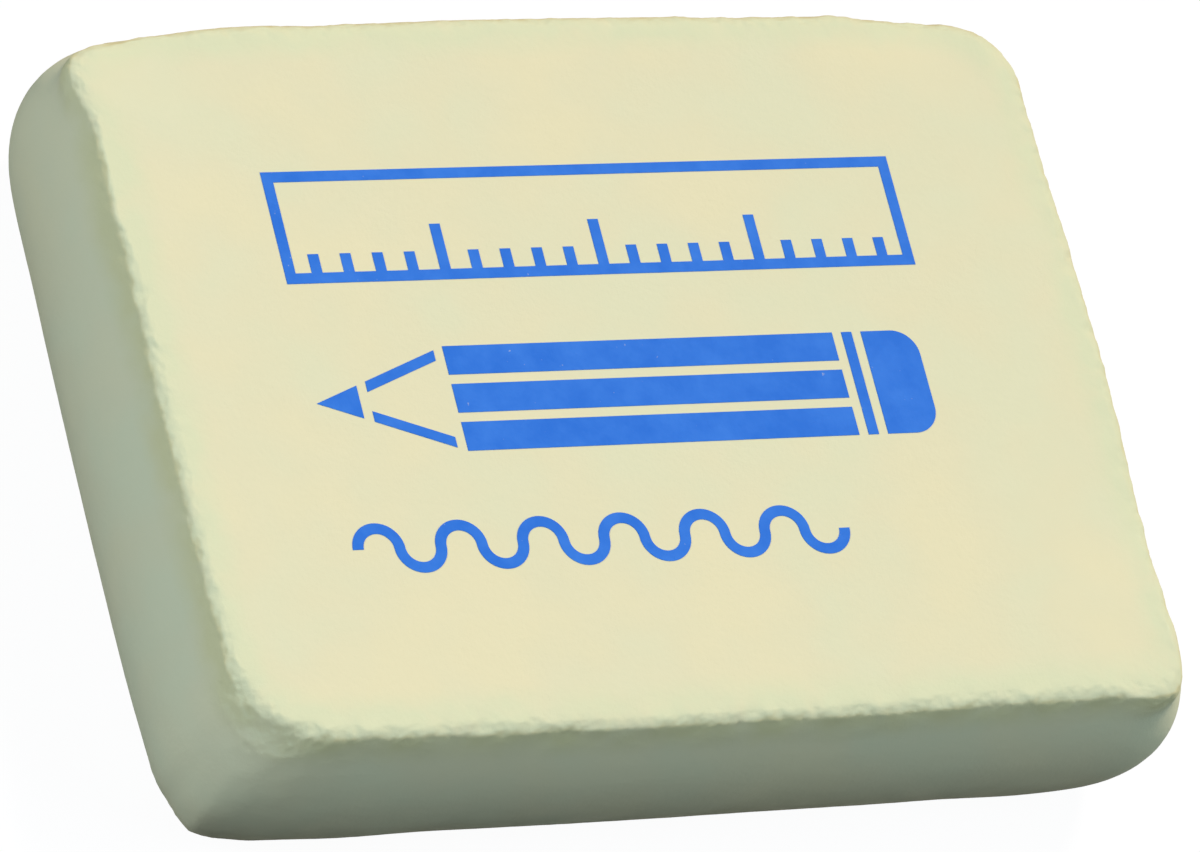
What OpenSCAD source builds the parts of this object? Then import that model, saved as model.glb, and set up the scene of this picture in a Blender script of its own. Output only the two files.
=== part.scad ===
// A moulded rubber eraser: one flat-topped block with bowed, swelling walls
// and soft edges, and a single-colour print on its top face.
// Millimetres, +Z up, +X along the block, origin at the middle of the underside.

/* [Block] */
// Length at mid height, from the middle of one bowed end to the other
block_length = 48; // [42:0.5:70]
// Width at mid height, from the middle of one bowed side to the other
block_width = 37; // [30:0.5:60]
// Height from the underside to the top face
block_height = 10; // [8:0.1:16]

/* [Walls] */
// Radius of each end's bow, seen from above
end_bow_radius = 540; // [200:10:1500]
// Radius of each long side's bow, seen from above
side_bow_radius = 900; // [300:10:2000]
// Radius of the four upright corners
corner_radius = 3.9; // [2:0.1:8]
// How far the walls swell out between their edges and mid height
wall_swell = 1.8; // [0.4:0.05:2.5]
// Radius of the soft edge round the top face and round the underside
edge_radius = 0.8; // [0.4:0.1:2.5]

/* [Print] */
// Thickness of the ink on the top face
ink_thickness = 0.05; // [0.02:0.01:0.2]
// Width of the printed outlines
line_width = 0.5; // [0.3:0.05:0.7]
// Gap left between neighbouring marks of the pencil
mark_gap = 0.45; // [0.3:0.05:0.7]
// Distance of the print's left edge from the middle of the block
print_left = 15.5; // [12:0.1:16]
// Distance of the print's back edge from the middle of the block
print_back = 9.6; // [9:0.1:10.5]
// Gap between the rule, the pencil and the scribble
row_gap = 3.2; // [2:0.1:3.5]

/* [Printed rule] */
// Length of the printed rule
rule_length = 30; // [20:0.5:31]
// Width of the printed rule
rule_width = 5.4; // [4.5:0.1:6]
// Distance between two marks on the rule
rule_step = 1.5; // [1.2:0.1:3]
// Length of a short mark on the rule
short_mark = 1.4; // [0.8:0.1:1.6]
// Length of every fifth mark on the rule
long_mark = 2.7; // [1.7:0.1:3.2]

/* [Printed pencil] */
// Length of the printed pencil from its point to its cap
pencil_length = 29; // [22:0.5:31]
// Width of the printed pencil
pencil_width = 5; // [4:0.1:6]
// Length of the pencil's sharpened cone
cone_length = 6.4; // [5:0.1:8]
// Length of the bare lead at the pencil's point
lead_length = 2; // [1:0.1:3]
// Length of the cap at the pencil's other end
cap_length = 2.6; // [1.8:0.1:4]
// Radius of the cap's two free corners
cap_radius = 1.2; // [0.4:0.1:1.6]

/* [Printed scribble] */
// Number of waves in the scribbled line
wave_count = 6; // [3:1:7]
// Radius of each half wave, to the middle of the line
wave_radius = 0.95; // [0.7:0.05:1]

/* [Hidden] */
rubber_color = [0.90, 0.89, 0.74];
ink_color = [0.21, 0.48, 0.86];
// Steps in a quarter of the outline: along each half bow, and round the corner
bow_steps = 4;
corner_steps = 12;
// Steps up the wall: round each soft edge, and along the swell
edge_steps = 5;
swell_steps = 10;
// Finest steps round the print's arcs
$fs = 0.1;
$fa = 3;

end_centre = [block_length / 2 - end_bow_radius, 0];
side_centre = [0, block_width / 2 - side_bow_radius];

// The swell is one arc that reaches its full depth at the top and the underside.
// The soft edge's arc lies inside it and runs into it at edge_turn.
half_height = block_height / 2;
swell_radius = (half_height ^ 2 + wall_swell ^ 2) / (2 * wall_swell);
edge_turn = asin((half_height - edge_radius) / (swell_radius - edge_radius));
edge_inset = swell_radius - (swell_radius - edge_radius) * cos(edge_turn);

function turned(angle) = [cos(angle), sin(angle)];
function turn_to(point) = atan2(point.y, point.x);

// Crossing of two circles on the left of the way from one centre to the other
function arcs_meet(a, ra, b, rb) =
    let (
        gap = norm(b - a),
        along = (ra ^ 2 - rb ^ 2 + gap ^ 2) / (2 * gap),
        across = sqrt(ra ^ 2 - along ^ 2),
        ahead = (b - a) / gap
    )
    a + along * ahead + across * [-ahead.y, ahead.x];

// A quarter of the block's outline, this far inside its widest one: half the
// end's bow, the corner that touches both bows, and half the side's bow
function quarter_outline(inset) =
    let (
        end_radius = end_bow_radius - inset,
        side_radius = side_bow_radius - inset,
        corner = arcs_meet(
            end_centre, end_radius - corner_radius,
            side_centre, side_radius - corner_radius
        ),
        end_turn = turn_to(corner - end_centre),
        side_turn = turn_to(corner - side_centre)
    )
    concat(
        [for (i = [0:bow_steps - 1])
            end_centre + end_radius * turned(end_turn * i / bow_steps)],
        [for (i = [0:corner_steps])
            corner + corner_radius * turned(end_turn + (side_turn - end_turn) * i / corner_steps)],
        [for (i = [1:bow_steps])
            side_centre + side_radius * turned(side_turn + (90 - side_turn) * i / bow_steps)]
    );

// The whole outline, unfolded from its quarter across both middle lines
function outline(inset) =
    let (
        quarter = quarter_outline(inset),
        last = len(quarter) - 1,
        back = concat(quarter, [for (i = [last - 1:-1:0]) [-quarter[i].x, quarter[i].y]])
    )
    concat(back, [for (i = [2 * last - 1:-1:1]) [back[i].x, -back[i].y]]);

// Section of the wall from the underside up, each point as [inset, height]
function wall_section() =
    let (
        upper = [for (i = [1:edge_steps])
            let (a = edge_turn + (90 - edge_turn) * i / edge_steps)
            [edge_inset - edge_radius * cos(a), block_height - edge_radius * (1 - sin(a))]],
        swell = [for (i = [0:swell_steps])
            let (a = edge_turn * (2 * i / swell_steps - 1))
            [swell_radius * (1 - cos(a)), half_height + swell_radius * sin(a)]],
        lower = [for (i = [edge_steps - 1:-1:0]) [upper[i].x, block_height - upper[i].y]]
    )
    concat(lower, swell, upper);

// A block with the wall's section all the way round its outline
module eraser_block() {
    section = wall_section();
    count = len(outline(0));
    top = len(section) - 1;
    color(rubber_color) polyhedron(
        points = [for (level = section) for (p = outline(level.x)) [p.x, p.y, level.y]],
        faces = concat(
            [[for (i = [0:count - 1]) i]],
            [for (k = [0:top - 1]) for (i = [0:count - 1])
                let (j = (i + 1) % count)
                [k * count + j, k * count + i, (k + 1) * count + i, (k + 1) * count + j]],
            [[for (i = [count - 1:-1:0]) top * count + i]]
        )
    );
}

// A rule: an outline with marks along its front edge, every fifth one long
module rule_mark() {
    difference() {
        square([rule_length, rule_width]);
        translate([line_width, line_width])
            square([rule_length - 2 * line_width, rule_width - 2 * line_width]);
    }
    last = ceil(rule_length / rule_step) - 1;
    for (i = [1:last])
        translate([i * rule_step - line_width / 2, 0])
            square([line_width, i % 5 == 0 ? long_mark : short_mark]);
}

// A pencil with its point at the origin: lead, cone, three long faces, band and cap
module pencil_mark() {
    lead_half = half_cone(lead_length);
    band_start = pencil_length - cap_length - mark_gap - line_width;
    face_end = band_start - mark_gap;
    face_width = (pencil_width - 2 * mark_gap) / 3;
    polygon([[0, 0], [lead_length, -lead_half], [lead_length, lead_half]]);
    for (side = [0, 1]) mirror([0, side, 0]) cone_edge();
    for (i = [-1:1])
        translate([cone_length, i * (face_width + mark_gap) - face_width / 2])
            square([face_end - cone_length, face_width]);
    translate([band_start, -pencil_width / 2]) square([line_width, pencil_width]);
    translate([pencil_length - cap_length, 0]) cap_mark();
}

// Half the cone's width this far from the pencil's point
function half_cone(x) = pencil_width / 2 * x / cone_length;

// The edge of the cone's bare wood, from the lead to the long faces
module cone_edge() {
    start = lead_length + mark_gap;
    stop = cone_length - mark_gap;
    polygon([
        [start, half_cone(start) - line_width],
        [stop, half_cone(stop) - line_width],
        [stop, half_cone(stop)],
        [start, half_cone(start)]
    ]);
}

// The pencil's cap, with its two free corners rounded
module cap_mark() {
    straight = cap_length - cap_radius;
    corner_y = pencil_width / 2 - cap_radius;
    translate([0, -pencil_width / 2]) square([straight, pencil_width]);
    translate([0, -corner_y]) square([cap_length, 2 * corner_y]);
    for (y = [-corner_y, corner_y]) translate([straight, y]) circle(cap_radius);
}

// A scribbled line of half rings, turned up and down by turns
module scribble_mark() {
    for (i = [0:2 * wave_count - 1])
        translate([(2 * i + 1) * wave_radius, 0])
            mirror([0, i % 2, 0]) half_ring();
}

module half_ring() {
    outer = wave_radius + line_width / 2;
    intersection() {
        difference() {
            circle(outer);
            circle(wave_radius - line_width / 2);
        }
        translate([-outer, 0]) square([2 * outer, outer]);
    }
}

// The rule, the pencil and the scribble, one row in front of the other
module top_print() {
    rule_y = print_back - rule_width;
    pencil_y = rule_y - row_gap - pencil_width / 2;
    scribble_y = pencil_y - pencil_width / 2 - row_gap - wave_radius - line_width / 2;
    color(ink_color)
        translate([-print_left, 0, block_height])
            linear_extrude(ink_thickness) {
                translate([0, rule_y]) rule_mark();
                translate([0, pencil_y]) pencil_mark();
                translate([line_width / 2, scribble_y]) scribble_mark();
            }
}

eraser_block();
top_print();
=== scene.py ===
"""A cream rubber eraser with worn rims and a blue print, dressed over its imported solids."""
import math

import bmesh
import bpy
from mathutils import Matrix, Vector, noise
from mathutils.bvhtree import BVHTree
from mathutils.kdtree import KDTree


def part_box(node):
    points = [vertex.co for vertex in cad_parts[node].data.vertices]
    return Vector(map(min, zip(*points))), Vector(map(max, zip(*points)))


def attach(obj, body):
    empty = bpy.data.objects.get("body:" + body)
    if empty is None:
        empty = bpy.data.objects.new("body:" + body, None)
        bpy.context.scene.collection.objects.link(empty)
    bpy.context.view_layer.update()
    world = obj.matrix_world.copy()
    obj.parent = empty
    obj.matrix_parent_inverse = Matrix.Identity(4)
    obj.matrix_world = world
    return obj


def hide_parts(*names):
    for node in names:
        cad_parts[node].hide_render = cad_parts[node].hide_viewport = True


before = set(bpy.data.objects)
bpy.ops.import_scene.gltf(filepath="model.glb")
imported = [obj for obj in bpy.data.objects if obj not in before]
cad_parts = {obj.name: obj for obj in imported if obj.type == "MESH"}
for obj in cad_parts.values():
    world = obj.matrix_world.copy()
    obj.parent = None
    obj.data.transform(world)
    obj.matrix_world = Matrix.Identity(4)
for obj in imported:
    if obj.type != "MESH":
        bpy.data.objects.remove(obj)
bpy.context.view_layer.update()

MM = 0.001
BLOCK_LOW, BLOCK_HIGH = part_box("eraser_block")
HEIGHT = BLOCK_HIGH.z

# How near each other two vertices of a solid's mesh count as one
MERGE_REACH = 0.001 * MM

# The height above the underside over which all wear fades in, so that the underside stays flat
FOOT = 1 * MM

# The rubber's skin: its mesh, its slow waves, and its fine grain
SKIN_STEP = 0.31 * MM
SKIN_SMOOTHING = 10
WAVE_SIZE = 9 * MM
WAVE_DEPTH = 0.02 * MM
GRAIN_SIZE = 0.5 * MM
GRAIN_DEPTH = 0.006 * MM

# The rims, by how far their normals lean up or down (0 level, 1 upright), how far beyond that on
# either side the skin is cut finer, and how far below it the walls are smoothed
RIM_LEAN = (0.68, 0.96)
RIM_MARGINS = (0.13, 0.035)
WALL_MARGIN = 0.1

# Where the chips, the wavering and the dents each read their noise, so that none follows another
CHIP_NOISE = Vector((1, 2, 3))
WAVER_NOISE = Vector((2, 3, 1))
DENT_NOISE = Vector((3, 1, 2))

# The chips along both rims: their reach from the rim's middle, their size and depth, and the share of
# that depth by which the skin between them may stand out
CHIP_REACH = 0.5 * MM
CHIP_SIZE = 0.42 * MM
CHIP_DEPTH = 0.04 * MM
CHIP_PROUD = 0.35

# The top rim's two tints, painted shade by slope: their reach from its middle, and the leans where each
# starts and is full
SLOPE_SHADE_REACH = 1.2 * MM
FACE_SHADE_LEAN = (0.5, 0.8)
WALL_SHADE_LEAN = (0.9, 0.62)

# The wavering of both rims, in and out, broader than the chips
WAVER_REACH = 0.9 * MM
WAVER_SIZE = 1.3 * MM
WAVER_DEPTH = 0.065 * MM

# The lip at the foot of each soft edge, which has this radius: how far it stands out, how far from the
# face it lies, the power of its rise from there, and how far along the wall it fades
EDGE_RADIUS = 0.8 * MM
LIP_HEIGHT = 0.06 * MM
LIP_DEPTH = 0.32 * MM
LIP_RISE = 1.5
LIP_FADE = 1.5 * MM

# The rubbed corner of the top rim, in front on the left: its middle, its reach and its dents
RUBBED_MIDDLE = Vector((-20.8, -15.9, 9.3)) * MM
RUBBED_REACH = 2.8 * MM
RUBBED_DENT_SIZE = 0.8 * MM
RUBBED_DENT_DEPTH = 0.05 * MM

# Where the moulding drew the top rim out, as middle, reach and pull: two corners and the front
PULLS = (
    (Vector((-21.5, 15.2, 9.8)) * MM, Vector((2.3, 2.3, 1.5)) * MM, Vector((-1.2, 0.42, 0)) * MM),
    (Vector((20.9, -15.6, 9.8)) * MM, Vector((1.6, 1.6, 1.5)) * MM, Vector((0.75, -0.75, -0.2)) * MM),
    (Vector((0, -16.9, 9.8)) * MM, Vector((40, 1.5, 1.2)) * MM, Vector((0, -0.16, 0)) * MM),
)

# The front left upright edge, which the moulding left sharper than the other three: the way it faces,
# how far round it spreads, how far it stands out, and the lean below the top rim where it starts
SHARP_AZIMUTH = math.radians(-128)
SHARP_SPREAD = math.radians(23)
SHARP_HEIGHT = 0.32 * MM
SHARP_START = 0.62

# Where the moulding stands out or sinks in a little, as middle, reach and height
LUMPS = (
    (Vector((-21.4, 17.0, 7.0)) * MM, 4.5 * MM, -0.25 * MM),
    (Vector((-19.0, 17.6, 8.2)) * MM, 2.5 * MM, -0.12 * MM),
    (Vector((-19.8, 16.9, 9.4)) * MM, 2.0 * MM, -0.18 * MM),
    (Vector((-22.6, 9.5, 9.2)) * MM, 3.5 * MM, 0.25 * MM),
    (Vector((18.4, 17.4, 8.7)) * MM, 3.0 * MM, -0.42 * MM),
    (Vector((22.0, 15.0, 9.1)) * MM, 2.0 * MM, 0.08 * MM),
    (Vector((23.0, -9.0, 8.7)) * MM, 4.5 * MM, -0.26 * MM),
    (Vector((23.2, 8.7, 8.6)) * MM, 3.0 * MM, -0.1 * MM),
    (Vector((22.9, -16.6, 6.1)) * MM, 3.0 * MM, 0.25 * MM),
    (Vector((16.8, -17.8, 1.9)) * MM, 2.6 * MM, 0.1 * MM),
    (Vector((-15.5, -17.8, 1.7)) * MM, 3.2 * MM, 0.13 * MM),
    (Vector((-21.0, -17.1, 1.7)) * MM, 2.6 * MM, 0.1 * MM),
    (Vector((-23.2, 12.8, 1.8)) * MM, 3.0 * MM, 0.1 * MM),
    (Vector((-10.6, 17.5, 8.6)) * MM, 2.2 * MM, -0.09 * MM),
    (Vector((9.8, 17.6, 8.6)) * MM, 2.5 * MM, -0.1 * MM),
    (Vector((-23.2, -13.7, 1.9)) * MM, 2.6 * MM, -0.09 * MM),
)

# The ink: how finely it is cut to follow the grain, how near a cut its vertices count as on it, and
# half its thickness
INK_STEP = 0.25 * MM
CUT_REACH = 0.0001 * MM
INK_DEPTH = 0.02 * MM

# The sizes of the rubber's broad tones, patches of the rim's painted slope shade, specks, changes of sheen
# and pores
BROAD_SIZE = 7 * MM
PATCH_SIZE = 2.2 * MM
SPECK_SIZE = 0.5 * MM
SHEEN_SIZE = 1.2 * MM
PORE_SIZE = 0.3 * MM

# The sizes of the ink's uneven tones and bare spots
INK_TONE_SIZE = 1.5 * MM
BARE_SIZE = 0.28 * MM

# The depth of the pores in the rubber, and of those that show through the ink
RUBBER_PORES = 0.05 * MM
INK_PORES = 0.04 * MM

# The lamps, each as name, azimuth, elevation, distance, width, share and colour
LAMPS = (
    ("key", 44, 46, 3.0, 0.5, 0.64, (1.16, 0.97, 0.86)),
    ("left_fill", 178, 30, 0.3, 0.18, 0.46, (0.85, 1.0, 1.15)),
    ("right_fill", 325, 46, 0.36, 0.22, 0.33, (0.8, 1.01, 1.17)),
)
SKY_COLOUR = (0.68, 0.89, 1.12, 1)
SKY_STRENGTH = 0.092

# The floor: half its width, its own grey, which takes the shadow, and the glow that the camera sees
FLOOR_HALF = 1.5
FLOOR_GREY = (0.06, 0.06, 0.06, 1)
FLOOR_GLOW = 0.955

# The camera, as fitted to the photo
CAMERA_PLACE = Vector((-171.19, -159.09, 320.81)) * MM
CAMERA_TURN = (29.969, -21.810, -14.409)
CAMERA_LENS = 272.74
CAMERA_SENSOR = 36


def copy_node(node, name):
    """A merged copy of a CAD node's mesh, as a new object."""
    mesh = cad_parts[node].data.copy()
    mesh.materials.clear()
    piece = bpy.data.objects.new(name, mesh)
    bpy.context.scene.collection.objects.link(piece)
    bm = bmesh.new()
    bm.from_mesh(mesh)
    bmesh.ops.remove_doubles(bm, verts=bm.verts, dist=MERGE_REACH)
    bm.to_mesh(mesh)
    bm.free()
    return piece


def remesh(piece, step):
    """Covers the piece with even quads this long."""
    cover = piece.modifiers.new("skin", "REMESH")
    cover.mode = "VOXEL"
    cover.voxel_size = step
    cover.adaptivity = 0
    graph = bpy.context.evaluated_depsgraph_get()
    mesh = bpy.data.meshes.new_from_object(piece.evaluated_get(graph))
    piece.modifiers.clear()
    piece.data = mesh


def mesh_surface(mesh):
    return BVHTree.FromPolygons([v.co for v in mesh.vertices], [p.vertices for p in mesh.polygons])


def refine_rims(piece, solid):
    """Cuts the quads along both rims finer, and seats the whole skin on the solid again."""
    surface = mesh_surface(solid)
    bm = bmesh.new()
    bm.from_mesh(piece.data)
    bm.normal_update()
    low, high = RIM_LEAN
    below, above = RIM_MARGINS
    soft = [e for e in bm.edges if all(low - below < abs(v.normal.z) < high + above for v in e.verts)]
    bmesh.ops.subdivide_edges(bm, edges=soft, cuts=2, use_grid_fill=True)
    relax(bm.verts, bm, 2)
    for vertex in bm.verts:
        vertex.co = surface.find_nearest(vertex.co)[0]
    bm.normal_update()
    relax([v for v in bm.verts if abs(v.normal.z) < low - WALL_MARGIN], bm, SKIN_SMOOTHING)
    relax(bm.verts, bm, 1)
    bm.to_mesh(piece.data)
    bm.free()


def relax(verts, bm, rounds):
    verts = list(verts)
    for _ in range(rounds):
        bmesh.ops.smooth_vert(bm, verts=verts, factor=0.5, use_axis_x=True, use_axis_y=True, use_axis_z=True)


def fractal(place, size, octaves):
    """A noise of this size with finer ones on it, each half as long as the last and weaker."""
    return noise.fractal(place / size, 0.6, 2.0, octaves)


def rim_distances(mesh):
    """How far each vertex is from the middle of a rim."""
    low, high = RIM_LEAN
    rim = [v.co for v in mesh.vertices if low < abs(v.normal.z) < high]
    tree = KDTree(len(rim))
    for index, place in enumerate(rim):
        tree.insert(place, index)
    tree.balance()
    return [tree.find(v.co)[2] for v in mesh.vertices]


def lump_height(place):
    return sum(
        height * math.exp(-(((place - middle).length / reach) ** 2)) for middle, reach, height in LUMPS
    )


def lip_height(place):
    """How far the lip stands out here, by the depth from the nearer face."""
    depth = min(place.z, HEIGHT - place.z)
    if depth > LIP_DEPTH:
        fade = max(0, 1 - (depth - LIP_DEPTH) / LIP_FADE)
        return LIP_HEIGHT * fade * fade
    lean = math.acos(1 - max(depth, 0) / EDGE_RADIUS)
    return LIP_HEIGHT * (lean / math.acos(1 - LIP_DEPTH / EDGE_RADIUS)) ** LIP_RISE


def off_the_faces(normal):
    """1 on the walls, falling across the rims to 0 on the two flat faces."""
    return min(1, 2 * (1 - abs(normal.z)))


def sharp_edge(normal):
    """How far the sharper upright edge stands out here."""
    away = math.atan2(normal.y, normal.x) - SHARP_AZIMUTH
    share = max(0, 1 - abs(away) / SHARP_SPREAD)
    below = min(1, max(0, (SHARP_START - normal.z) / SHARP_START))
    return SHARP_HEIGHT * share * below * off_the_faces(normal)


def rubbed_share(place):
    """How much of the rubbed corner's wear this place has."""
    return math.exp(-(((place - RUBBED_MIDDLE).length / RUBBED_REACH) ** 2))


def pull_out(place):
    """Draws the rim out where the moulding did."""
    drawn = place.copy()
    for middle, reach, pull in PULLS:
        away = sum(((place[axis] - middle[axis]) / reach[axis]) ** 2 for axis in range(3))
        drawn += pull * math.exp(-away)
    return drawn


def weather(piece):
    """Gives the block its lumps, waves, chipped rims, rubbed corner and grain."""
    mesh = piece.data
    distances = rim_distances(mesh)
    normals = [v.normal.copy() for v in mesh.vertices]
    for vertex, normal, away in zip(mesh.vertices, normals, distances):
        place = vertex.co.copy()
        lift = WAVE_DEPTH * fractal(place, WAVE_SIZE, 2) + GRAIN_DEPTH * fractal(place, GRAIN_SIZE, 3)
        chip = fractal(place + CHIP_NOISE, CHIP_SIZE, 2)
        lift -= CHIP_DEPTH * math.exp(-((away / CHIP_REACH) ** 2)) * max(chip, -CHIP_PROUD)
        waver = fractal(place + WAVER_NOISE, WAVER_SIZE, 2)
        lift += WAVER_DEPTH * math.exp(-((away / WAVER_REACH) ** 2)) * waver
        rubbed = rubbed_share(place)
        dent = fractal(place + DENT_NOISE, RUBBED_DENT_SIZE, 3)
        lift -= RUBBED_DENT_DEPTH * dent * rubbed * off_the_faces(normal)
        lift += lip_height(place) * (1 - rubbed) + lump_height(place) + sharp_edge(normal)
        lift *= min(1, place.z / FOOT)
        place = pull_out(place + normal * lift)
        for axis in range(3):
            place[axis] = min(max(place[axis], BLOCK_LOW[axis]), BLOCK_HIGH[axis])
        vertex.co = place
    mesh.update()
    mark_slope_shade(mesh, distances)


def mark_slope_shade(mesh, distances):
    """Marks how far each vertex takes the top rim's two tints of painted shade, by its distance and its
    lean.
    """
    # Painted shade: the upper rim's slopes are marked for a shaded cream by how far they lean
    for name, (none, full) in (("rim_face_shade", FACE_SHADE_LEAN), ("rim_wall_shade", WALL_SHADE_LEAN)):
        slope_shade = mesh.attributes.new(name, "FLOAT", "POINT")
        slope_shade.data.foreach_set("value", [
            math.exp(-((away / SLOPE_SHADE_REACH) ** 2)) * min(1, max(0, (vertex.normal.z - none) / (full - none)))
            * (vertex.co.z > HEIGHT / 2)
            for away, vertex in zip(distances, mesh.vertices)
        ])


def lay_ink(piece, block):
    """Cuts the print into small cells and lays them on the grained top face."""
    bm = bmesh.new()
    bm.from_mesh(piece.data)
    low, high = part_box("top_print")
    for axis in (0, 1):
        place = low[axis] + INK_STEP / 2
        while place < high[axis]:
            at = Vector((0, 0, 0))
            at[axis] = place
            along = Vector((0, 0, 0))
            along[axis] = 1
            bmesh.ops.bisect_plane(
                bm, geom=bm.verts[:] + bm.edges[:] + bm.faces[:], plane_co=at, plane_no=along, dist=CUT_REACH
            )
            place += INK_STEP
    surface = mesh_surface(block.data)
    middle = (low.z + high.z) / 2
    for vertex in bm.verts:
        hit = surface.ray_cast(Vector((vertex.co.x, vertex.co.y, 2 * HEIGHT)), Vector((0, 0, -1)))[0]
        side = INK_DEPTH if vertex.co.z > middle else -INK_DEPTH
        vertex.co.z = hit.z + side
    bm.to_mesh(piece.data)
    bm.free()


def new_material(name):
    material = bpy.data.materials.new(name)
    material.use_nodes = True
    nodes = material.node_tree.nodes
    return material, nodes, material.node_tree.links, nodes["Principled BSDF"]


def linear(red, green, blue):
    """A colour given as it shows on screen, 0 to 255, in the shader's own units."""
    def one(value):
        value /= 255
        return value / 12.92 if value <= 0.04045 else ((value + 0.055) / 1.055) ** 2.4
    return (one(red), one(green), one(blue), 1)


def noise_node(nodes, links, size, detail=3.0, roughness=0.6):
    """A noise whose lumps are about this long, in metres, on Object coordinates."""
    where = nodes.new("ShaderNodeTexCoord")
    texture = nodes.new("ShaderNodeTexNoise")
    texture.inputs["Scale"].default_value = 1 / size
    texture.inputs["Detail"].default_value = detail
    texture.inputs["Roughness"].default_value = roughness
    links.new(where.outputs["Object"], texture.inputs["Vector"])
    return texture.outputs["Fac"]


def ramp(nodes, links, source, stops):
    """Turns a value into a colour or a share, by stops of (place, colour)."""
    node = nodes.new("ShaderNodeValToRGB")
    band = node.color_ramp
    band.elements[0].position, band.elements[0].color = stops[0]
    band.elements[1].position, band.elements[1].color = stops[-1]
    for place, colour in stops[1:-1]:
        band.elements.new(place).color = colour
    links.new(source, node.inputs["Fac"])
    return node.outputs["Color"]


def mix(nodes, links, share, first, second):
    node = nodes.new("ShaderNodeMix")
    node.data_type = "RGBA"
    for socket, value in ((node.inputs[0], share), (node.inputs[6], first), (node.inputs[7], second)):
        if isinstance(value, bpy.types.NodeSocket):
            links.new(value, socket)
        else:
            socket.default_value = value
    return node.outputs[2]


def grey(value):
    return (value, value, value, 1)


CREAM = linear(236, 230, 189)
CREAM_WARM = linear(239, 231, 188)
CREAM_GREEN = linear(233, 231, 191)
# Painted shade by slope: a greener cream for the top rim's leaning face, and a darker, warmer one for its
# steep facets
RIM_SLOPE_SHADE = linear(229, 231, 189)
WALL_SLOPE_SHADE = linear(230, 223, 171)
SPECK = linear(176, 172, 142)
INK_BLUE = linear(12, 113, 219)
INK_LIGHT = linear(40, 125, 227)


def add_pores(nodes, links, shader, strength, depth):
    bump = nodes.new("ShaderNodeBump")
    bump.inputs["Strength"].default_value = strength
    bump.inputs["Distance"].default_value = depth
    links.new(noise_node(nodes, links, PORE_SIZE, 4), bump.inputs["Height"])
    links.new(bump.outputs["Normal"], shader.inputs["Normal"])


def rubber_material():
    material, nodes, links, shader = new_material("cream_rubber")
    broad = noise_node(nodes, links, BROAD_SIZE, 2)
    base = ramp(nodes, links, broad, [(0.35, CREAM_GREEN), (0.5, CREAM), (0.65, CREAM_WARM)])
    # Painted shade: the top rim's slopes take these two creams by their lean, in patches
    for name, slope_shade in (("rim_face_shade", RIM_SLOPE_SHADE), ("rim_wall_shade", WALL_SLOPE_SHADE)):
        rim = nodes.new("ShaderNodeAttribute")
        rim.attribute_name = name
        patchy = nodes.new("ShaderNodeMath")
        patchy.operation = "MULTIPLY"
        links.new(rim.outputs["Fac"], patchy.inputs[0])
        links.new(noise_node(nodes, links, PATCH_SIZE, 2), patchy.inputs[1])
        share = ramp(nodes, links, patchy.outputs[0], [(0.08, grey(0)), (0.48, grey(1))])
        base = mix(nodes, links, share, base, slope_shade)
    fine = noise_node(nodes, links, SPECK_SIZE, 1)
    specks = ramp(nodes, links, fine, [(0.85, grey(0)), (0.88, grey(0.5))])
    base = mix(nodes, links, specks, base, SPECK)
    links.new(base, shader.inputs["Base Color"])
    sheen = noise_node(nodes, links, SHEEN_SIZE)
    rough = ramp(nodes, links, sheen, [(0.3, grey(0.72)), (0.7, grey(0.9))])
    links.new(rough, shader.inputs["Roughness"])
    shader.inputs["Specular IOR Level"].default_value = 0.25
    add_pores(nodes, links, shader, 0.35, RUBBER_PORES)
    return material


def ink_material():
    material, nodes, links, shader = new_material("blue_ink")
    tone = noise_node(nodes, links, INK_TONE_SIZE)
    base = ramp(nodes, links, tone, [(0.35, INK_BLUE), (0.7, INK_LIGHT)])
    fine = noise_node(nodes, links, BARE_SIZE, 2)
    bare = ramp(nodes, links, fine, [(0.74, grey(0)), (0.8, grey(0.35))])
    base = mix(nodes, links, bare, base, CREAM)
    links.new(base, shader.inputs["Base Color"])
    shader.inputs["Roughness"].default_value = 0.6
    shader.inputs["Specular IOR Level"].default_value = 0.2
    add_pores(nodes, links, shader, 0.3, INK_PORES)
    return material


def make_block():
    block = copy_node("eraser_block", "eraser")
    solid = block.data
    remesh(block, SKIN_STEP)
    refine_rims(block, solid)
    weather(block)
    block.data.shade_smooth()
    block.data.materials.append(rubber_material())
    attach(block, "root")
    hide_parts("eraser_block")
    return block


def make_print(block):
    ink = copy_node("top_print", "print")
    lay_ink(ink, block)
    ink.data.materials.append(ink_material())
    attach(ink, "root")
    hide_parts("top_print")
    return ink


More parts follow.
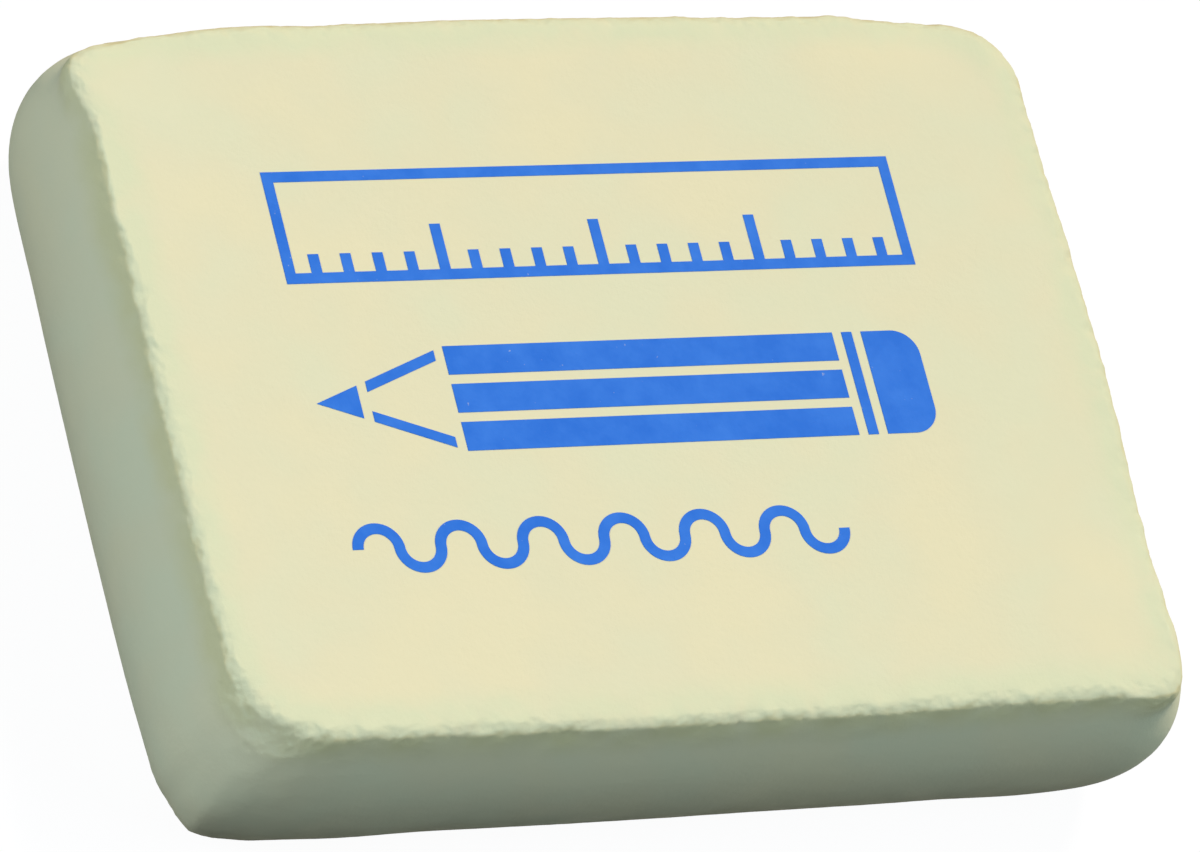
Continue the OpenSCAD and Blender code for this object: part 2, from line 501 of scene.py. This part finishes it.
def make_floor():
    bm = bmesh.new()
    bmesh.ops.create_grid(bm, x_segments=1, y_segments=1, size=FLOOR_HALF)
    mesh = bpy.data.meshes.new("floor")
    bm.to_mesh(mesh)
    bm.free()
    floor = bpy.data.objects.new("floor", mesh)
    bpy.context.scene.collection.objects.link(floor)
    material, nodes, links, shader = new_material("white_table")
    shader.inputs["Base Color"].default_value = FLOOR_GREY
    shader.inputs["Roughness"].default_value = 0.9
    shader.inputs["Specular IOR Level"].default_value = 0.1
    glow = nodes.new("ShaderNodeEmission")
    seen = nodes.new("ShaderNodeLightPath")
    either = nodes.new("ShaderNodeMath")
    either.operation = "MAXIMUM"
    links.new(seen.outputs["Is Camera Ray"], either.inputs[0])
    links.new(seen.outputs["Is Glossy Ray"], either.inputs[1])
    strength = nodes.new("ShaderNodeMath")
    strength.operation = "MULTIPLY"
    strength.inputs[1].default_value = FLOOR_GLOW
    links.new(either.outputs[0], strength.inputs[0])
    links.new(strength.outputs[0], glow.inputs["Strength"])
    both = nodes.new("ShaderNodeAddShader")
    links.new(shader.outputs[0], both.inputs[0])
    links.new(glow.outputs[0], both.inputs[1])
    links.new(both.outputs[0], nodes["Material Output"].inputs["Surface"])
    mesh.materials.append(material)


def add_soft_light(name, azimuth, elevation, distance, width, share, colour):
    """A square lamp aimed at the block; a share of 1 lights a face turned to it as written."""
    turn, rise = math.radians(azimuth), math.radians(elevation)
    way = Vector((math.cos(rise) * math.cos(turn), math.cos(rise) * math.sin(turn), math.sin(rise)))
    light = bpy.data.lights.new(name, "AREA")
    light.shape = "SQUARE"
    light.size = width
    light.energy = share * (math.pi * distance) ** 2
    light.color = colour
    lamp = bpy.data.objects.new(name, light)
    lamp.location = way * distance
    lamp.rotation_euler = (-way).to_track_quat("-Z", "Y").to_euler()
    bpy.context.scene.collection.objects.link(lamp)


def light_room():
    """One soft warm key from behind on the right, and two weak cool fills for the walls in view."""
    for lamp in LAMPS:
        add_soft_light(*lamp)
    world = bpy.data.worlds.new("studio")
    bpy.context.scene.world = world
    world.use_nodes = True
    nodes, links = world.node_tree.nodes, world.node_tree.links
    sky = nodes["Background"]
    sky.inputs["Color"].default_value = SKY_COLOUR
    sky.inputs["Strength"].default_value = SKY_STRENGTH
    white = nodes.new("ShaderNodeBackground")
    white.inputs["Strength"].default_value = 1.0
    white.inputs["Color"].default_value = (1, 1, 1, 1)
    seen = nodes.new("ShaderNodeLightPath")
    choose = nodes.new("ShaderNodeMixShader")
    links.new(seen.outputs["Is Camera Ray"], choose.inputs["Fac"])
    links.new(sky.outputs[0], choose.inputs[1])
    links.new(white.outputs[0], choose.inputs[2])
    links.new(choose.outputs[0], nodes["World Output"].inputs["Surface"])


def place_camera():
    camera = bpy.data.cameras.new("camera")
    camera.sensor_width = CAMERA_SENSOR
    camera.lens = CAMERA_LENS
    viewer = bpy.data.objects.new("camera", camera)
    viewer.location = CAMERA_PLACE
    viewer.rotation_euler = [math.radians(a) for a in CAMERA_TURN]
    bpy.context.scene.collection.objects.link(viewer)
    bpy.context.scene.camera = viewer
    bpy.context.scene.view_settings.view_transform = "Standard"


block = make_block()
make_print(block)
make_floor()
light_room()
place_camera()
